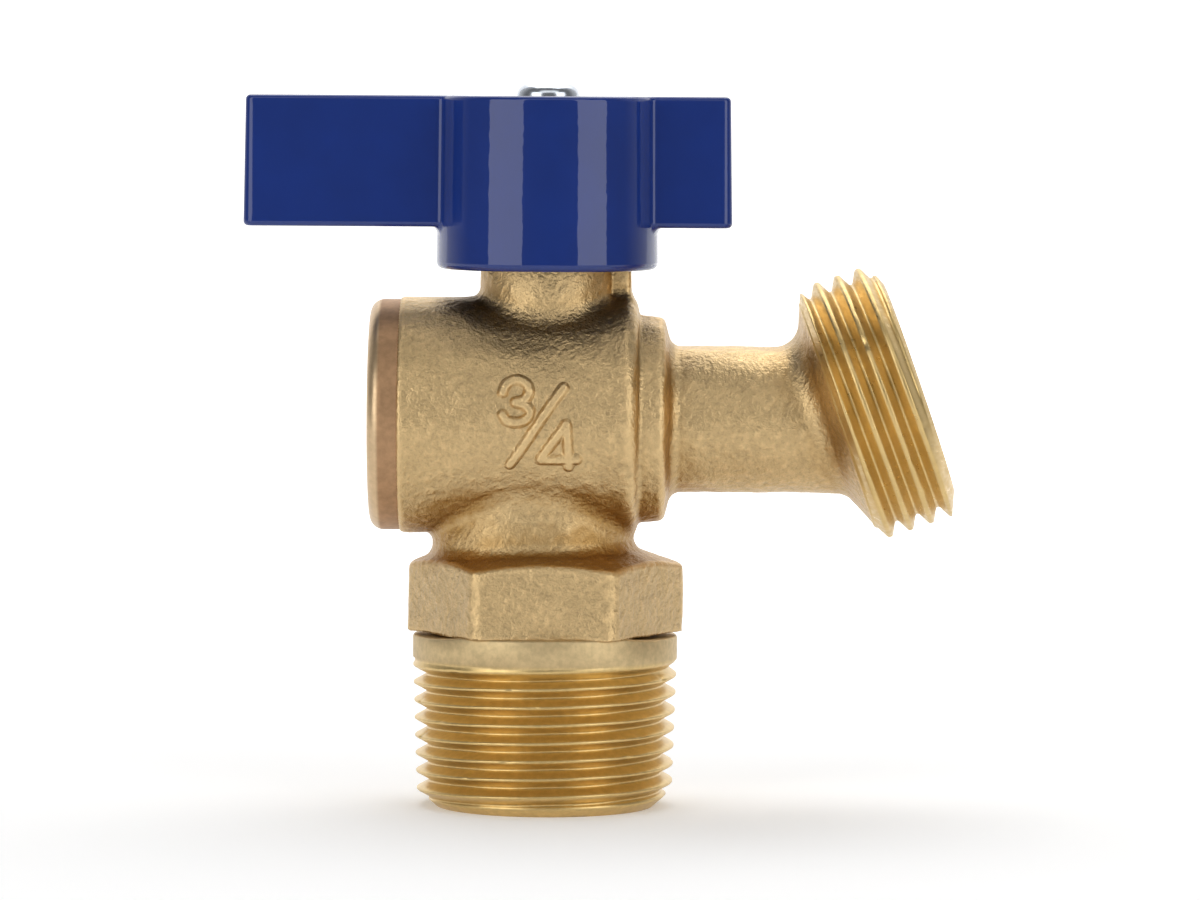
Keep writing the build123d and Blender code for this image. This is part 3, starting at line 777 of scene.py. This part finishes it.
class VALVE_OT_forging(bpy.types.Operator):
    """Sand-blasted forging: barrel, boss, neck, hexagon and spout in one skin"""

    bl_idname = "valve.forging"
    bl_label = "Forging"

    def execute(self, context):
        sizes = context.scene.valve_forging
        field = forging_field(sizes)
        margin = 2 * sizes.cell
        low = (sizes.barrel_start - margin, body_low.y - margin, sizes.hexagon_low - margin)
        high = (hose_x, body_high.y + margin, body_high.z + margin)
        points, faces = surface_net(field, low, high, sizes.cell)
        step, reach, away = 0.05 * MM, 0.35 * MM, 7 * MM
        slope = field_gradient(field, points, step)
        normals = slope / np.linalg.norm(slope, axis=1)[:, None]
        # An edge is where the field bends most, by its Laplacian
        around = [field(*(points + side).T) for side in np.vstack([np.eye(3), -np.eye(3)]) * reach]
        bend = (sum(around) - 6 * field(*points.T)) / reach**2 * MM
        # Painted shade with some tarnish: a point is darkened where another wall comes near, and most below
        # the barrel's axis
        hollow_shade_and_tarnish = np.clip(1 - field(*(points + normals * away).T) / away, 0, 1)
        hollow_shade_and_tarnish *= np.clip((barrel_z + 1 * MM - points[:, 2]) / away, 0.35, 1)
        marks = {"edge": np.clip(bend, -1, 1), "hollow_shade_and_tarnish": hollow_shade_and_tarnish}
        piece = make_mesh("forging", points, faces, normals, marks)
        dress(piece, finish("forged_brass"), replaces=["body"])
        return {"FINISHED"}


class VALVE_OT_pipe_thread(bpy.types.Operator):
    """Tapered pipe thread of the inlet, with its plain collar, end face and bore"""

    bl_idname = "valve.pipe_thread"
    bl_label = "Pipe thread"

    def execute(self, context):
        sizes, forging = context.scene.valve_threads, context.scene.valve_forging
        pitch = INCH / sizes.pipe_per_inch
        top, collar = sizes.pipe_height, forging.hexagon_low
        taper, run_out_length, crest_height = 1 / 32, 1.6 * MM, 14.4 * MM
        profile = thread_profile(crest=0.13, root=0.12, corner=0.035)

        def radius_at(height, angle, cut):
            crest = sizes.pipe_radius - np.maximum(top - height, 0) * taper
            run_out = np.clip((top + 0.1 * MM - height) / run_out_length, 0, 1) ** 0.8
            dents = nicks(angle, height, PIPE_SEED, 60, 1.0 * MM, top) * (1 - cut)
            thread = crest - sizes.pipe_depth * (cut * run_out + dents * run_out)
            nose = sizes.nose_radius + height * (crest - sizes.nose_radius) / sizes.nose_height
            return np.minimum(thread, nose)

        phase = crest_height - pitch * 0.5
        thread = thread_surface(0, top, pitch, phase, radius_at, profile, sizes.columns)
        outer, bore, chamfer = sizes.pipe_radius, forging.waterway_radius, 0.25 * MM
        wall = bore + 0.01 * MM
        under_notch = collar - side_notch(outer * np.cos(thread[2]), forging) / 2
        inner = [
            (outer, top + 0.05 * MM), (outer, under_notch - chamfer),
            (outer - 0.08 * MM, under_notch - 0.07 * MM), (outer - chamfer, under_notch),
            (NOTCH_ROOT, under_notch), (bore + 1.0 * MM, collar), (wall, collar), (wall, collar - 0.3 * MM),
            (wall, 0.8 * MM), (bore + 0.3 * MM, 0.2 * MM), (bore + 0.8 * MM, 0.0),
        ]
        piece = thread_piece("pipe_thread", thread, inner)
        dress(piece, finish("inlet_brass"), replaces=["body"])
        return {"FINISHED"}


class VALVE_OT_hose_thread(bpy.types.Operator):
    """Coarse hose thread of the outlet, with its face and mouth"""

    bl_idname = "valve.hose_thread"
    bl_label = "Hose thread"

    def execute(self, context):
        sizes, forging = context.scene.valve_threads, context.scene.valve_forging
        pitch = INCH / sizes.hose_per_inch
        tail_overlap, lip = 0.6 * MM, 0.25 * MM
        back = -forging.cone_depth - tail_overlap
        profile = thread_profile(crest=0.2, root=0.14, corner=0.04)

        def radius_at(height, angle, cut):
            dents = nicks(angle, height, HOSE_SEED, 50, back, 0) * (1 - cut)
            thread = hose_radius - sizes.hose_depth * (cut + dents)
            nose = sizes.hose_nose - height * (hose_radius - sizes.hose_nose) / sizes.hose_nose_length
            tail = hose_radius + 0.03 * MM + (height + forging.cone_depth) / math.tan(forging.cone_slope)
            return np.minimum(np.minimum(thread, nose), tail)

        phase = 0.15 * MM
        thread = thread_surface(back, 0, pitch, phase, radius_at, profile, sizes.columns)
        mouth, drill_slope = sizes.mouth_radius, math.tan(math.radians(59))
        floor = [(r, -sizes.mouth_depth - (mouth - r) / drill_slope) for r in (6.8 * MM, 4.95 * MM)]
        inner = [
            (mouth + 0.35 * MM, 0), (mouth + 0.1 * MM, -0.1 * MM), (mouth, -0.35 * MM),
            (mouth, -sizes.mouth_depth), *floor, (6.0 * MM, back - lip), (11.0 * MM, back - lip),
            (12.0 * MM, back - 0.1 * MM),
        ]
        piece = thread_piece("hose_thread", thread, inner, turned=tilt_to_hose)
        dress(piece, finish("thread_brass"), replaces=["body"])
        return {"FINISHED"}


class VALVE_OT_plug_rim(bpy.types.Operator):
    """Turned band and rounded rim at the plug end of the barrel"""

    bl_idname = "valve.plug_rim"
    bl_label = "Plug rim"

    def execute(self, context):
        forging = context.scene.valve_forging
        outer, inner = forging.barrel_radius - 0.25 * MM, plug_high.y + PLUG_GAP
        start, face, rounding = forging.barrel_start + 0.3 * MM, body_low.x, 1.4 * MM
        loop = [(inner, start), (inner + 1 * MM, start), (outer, start)]
        loop += [(outer, h) for h in np.linspace(start - 0.35 * MM, face + rounding + 0.05 * MM, 6)]
        loop += arc((outer - rounding, face + rounding), rounding, 0, -90, 13)
        loop += [(inner + 0.25 * MM, face), (inner + 0.05 * MM, face + 0.05 * MM), (inner, face + 0.25 * MM)]
        vertices, faces = turned_ring(loop)
        vertices = np.stack([vertices[:, 2], vertices[:, 0], vertices[:, 1] + barrel_z], -1)
        piece = make_mesh("plug_rim", vertices, faces)
        dress(piece, finish("rim_brass"), replaces=["body"])
        return {"FINISHED"}


class VALVE_OT_numerals(bpy.types.Operator):
    """Raised size mark, three over four, on the front of the barrel"""

    bl_idname = "valve.numerals"
    bl_label = "Size mark"

    def execute(self, context):
        sizes, radius = context.scene.valve_numerals, context.scene.valve_forging.barrel_radius
        # Middle lines in mm from the barrel's middle: the 3 in two strokes, the bar, and the 4 in three
        strokes = [
            [(-4.2, 2.9), (-3.75, 3.8), (-2.7, 4.2), (-1.75, 3.65), (-1.6, 2.8), (-2.15, 2.1), (-2.95, 1.9)],
            [
                (-2.95, 1.9), (-2.0, 1.65), (-1.45, 0.95), (-1.8, 0.25), (-2.7, -0.1), (-3.7, 0.05),
                (-4.2, 0.65),
            ],
            [(1.9, 3.4), (0.1, 0.85), (-1.65, -1.75), (-3.45, -4.4)],
            [(2.1, -0.3), (1.75, -0.9), (0.5, -2.5), (-0.4, -3.85)],
            [(-0.4, -3.85), (1.5, -3.9), (3.25, -3.85)],
            [(2.2, -0.3), (2.35, -2.4), (2.45, -4.6)],
        ]
        vertices, faces = raised_mark(strokes, sizes, radius)
        height = np.hypot(vertices[:, 1], vertices[:, 2] - barrel_z) - radius
        # The stroke's height makes its top brighter in the material: a painted highlight
        piece = make_mesh("size_mark", vertices, faces, attributes={"edge": height / sizes.stroke_height})
        dress(piece, finish("forged_brass"))
        return {"FINISHED"}


class VALVE_OT_handle(bpy.types.Operator):
    """Gloss paint on the tee handle"""

    bl_idname = "valve.handle"
    bl_label = "Handle"

    def execute(self, context):
        repaint("handle", "blue_paint")
        return {"FINISHED"}


class VALVE_OT_fittings(bpy.types.Operator):
    """Finishes of the screw, washer, plug, stem, ball, seats and packing"""

    bl_idname = "valve.fittings"
    bl_label = "Fittings"

    def execute(self, context):
        nodes = {
            "bright_zinc": ("handle_screw", "screw_lock_washer"),
            "cut_brass": ("stem", "packing_nut", "gland_ring", "end_plug"),
            "chrome_plate": ("ball",),
            "white_ptfe": (
                "outlet_seat", "rear_seat", "stem_thrust_washer", "packing_ring_lower", "packing_ring_upper",
            ),
            "black_rubber": ("end_plug_o_ring", "stem_o_ring"),
        }
        for name, group in nodes.items():
            for node in group:
                repaint(node, name)
        return {"FINISHED"}


def repaint(node, name):
    """Give a node of the solid model its finish."""
    materials = frame["nodes"][node].data.materials
    materials.clear()
    materials.append(finish(name))


def soft_box(name, place, aim, size, power):
    """A rectangular lamp that looks at a point."""
    lamp = bpy.data.lights.new(name, "AREA")
    lamp.shape = "RECTANGLE"
    lamp.size, lamp.size_y = size
    lamp.energy = power
    made = bpy.data.objects.new(name, lamp)
    made.location = place
    towards = np.array(aim) - np.array(place)
    flat = math.hypot(towards[0], towards[1])
    made.rotation_euler = (math.atan2(flat, -towards[2]), 0, math.atan2(-towards[0], towards[1]))
    bpy.context.scene.collection.objects.link(made)


class VALVE_OT_stage(bpy.types.Operator):
    """Pale floor and backdrop, soft lamps and the camera"""

    bl_idname = "valve.stage"
    bl_label = "Stage"

    def execute(self, context):
        settings = context.scene.valve_stage
        self.build_sweep()
        self.light_world(context.scene)
        middle = (0.0, 0.0, 0.042)
        # Places and sizes in metres, power in watts
        soft_box("left_box", (-0.64, -0.67, 0.22), middle, (0.66, 0.8), 3.4)
        soft_box("right_box", (0.70, -0.62, 0.22), middle, (0.56, 0.8), 2.9)
        soft_box("top_box", (0.05, 0.38, 0.95), middle, (1.0, 1.0), 6.2)
        soft_box("front_box", (0.1, -0.8, 0.85), middle, (1.3, 0.45), 1.9)
        camera = bpy.data.cameras.new("camera")
        camera.lens = settings.lens
        made = bpy.data.objects.new("camera", camera)
        made.location = (settings.eye_x, -settings.distance, settings.eye_height)
        made.rotation_euler = Euler((math.radians(90) - settings.pitch, settings.roll, settings.yaw), "XYZ")
        context.scene.collection.objects.link(made)
        context.scene.camera = made
        context.scene.view_settings.view_transform = "Standard"
        return {"FINISHED"}

    def build_sweep(self):
        """Floor that curves up into a backdrop: a line with one quarter turn, carried sideways. Only the
        camera, metal and glass see its glow, which grows towards the back, so the valve keeps its shadow."""
        front, reach, bend, top = -2.5, 1.6, 0.5, 2.2
        line = [(front, 0.0), (reach - bend, 0.0)]
        line += arc((reach - bend, bend), bend, -90, 0, 25) + [(reach, top)]
        y, z = np.array(line).T
        x = np.array([-reach, reach])
        places = np.stack(np.broadcast_arrays(x[None, :], y[:, None], z[:, None]), -1)
        sweep = make_mesh("sweep", places.reshape(-1, 3), grid_faces(len(line), 2))
        material, tree, shader = start_material("white_paper", Roughness=0.9)
        shader.inputs["Base Color"].default_value = (0.88, 0.88, 0.88, 1)
        light = tree.nodes.new("ShaderNodeLightPath")
        seen = light.outputs["Is Camera Ray"]
        for kind in ("Is Glossy Ray", "Is Transmission Ray"):
            either = tree.nodes.new("ShaderNodeMath")
            either.operation = "MAXIMUM"
            tree.links.new(seen, either.inputs[0])
            tree.links.new(light.outputs[kind], either.inputs[1])
            seen = either.outputs[0]
        shader.inputs["Emission Color"].default_value = (1, 1, 1, 1)
        parts = tree.nodes.new("ShaderNodeSeparateXYZ")
        tree.links.new(tree.nodes.new("ShaderNodeTexCoord").outputs["Object"], parts.inputs["Vector"])
        product = tree.nodes.new("ShaderNodeMath")
        product.operation = "MULTIPLY"
        tree.links.new(seen, product.inputs[0])
        tree.links.new(fit(tree, parts.outputs["Y"], 0.0, 0.7, 0.22, 0.95), product.inputs[1])
        tree.links.new(product.outputs[0], shader.inputs["Emission Strength"])
        sweep.data.materials.append(material)

    def light_world(self, scene):
        """A soft sky: dim on the camera's side, and brighter towards the back."""
        world = bpy.data.worlds.new("studio")
        scene.world = world
        world.use_nodes = True
        tree = world.node_tree
        background = tree.nodes["Background"]
        background.inputs["Color"].default_value = (1, 1, 1, 1)
        place = tree.nodes.new("ShaderNodeTexCoord").outputs["Generated"]
        parts = tree.nodes.new("ShaderNodeSeparateXYZ")
        tree.links.new(place, parts.inputs["Vector"])
        tree.links.new(fit(tree, parts.outputs["Y"], 0.0, 0.9, 0.17, 0.9), background.inputs["Strength"])


class VALVE_PT_panel(bpy.types.Panel):
    """Buttons for the pieces of the valve"""

    bl_idname = "VALVE_PT_panel"
    bl_label = "Boiler drain valve"
    bl_space_type = "VIEW_3D"
    bl_region_type = "UI"
    bl_category = "Valve"

    def draw(self, context):
        for operator in OPERATORS:
            self.layout.operator(operator.bl_idname)


PROPERTY_GROUPS = {
    "valve_forging": ForgingSizes,
    "valve_threads": ThreadSizes,
    "valve_numerals": NumeralSizes,
    "valve_colours": FinishColours,
    "valve_stage": StageSettings,
}
OPERATORS = (
    VALVE_OT_forging,
    VALVE_OT_pipe_thread,
    VALVE_OT_hose_thread,
    VALVE_OT_plug_rim,
    VALVE_OT_numerals,
    VALVE_OT_handle,
    VALVE_OT_fittings,
    VALVE_OT_stage,
)


def register():
    """Register the classes, and give the scene its settings."""
    for name, group in PROPERTY_GROUPS.items():
        bpy.utils.register_class(group)
        setattr(bpy.types.Scene, name, bpy.props.PointerProperty(type=group))
    for operator in OPERATORS:
        bpy.utils.register_class(operator)
    bpy.utils.register_class(VALVE_PT_panel)


def unregister():
    """Take the classes and the settings out again."""
    bpy.utils.unregister_class(VALVE_PT_panel)
    for operator in reversed(OPERATORS):
        bpy.utils.unregister_class(operator)
    for name, group in PROPERTY_GROUPS.items():
        delattr(bpy.types.Scene, name)
        bpy.utils.unregister_class(group)


def main():
    """Build every piece and the stage."""
    register()
    bpy.ops.valve.forging()
    bpy.ops.valve.pipe_thread()
    bpy.ops.valve.hose_thread()
    bpy.ops.valve.plug_rim()
    bpy.ops.valve.numerals()
    bpy.ops.valve.handle()
    bpy.ops.valve.fittings()
    bpy.ops.valve.stage()


if __name__ == "__main__":
    main()
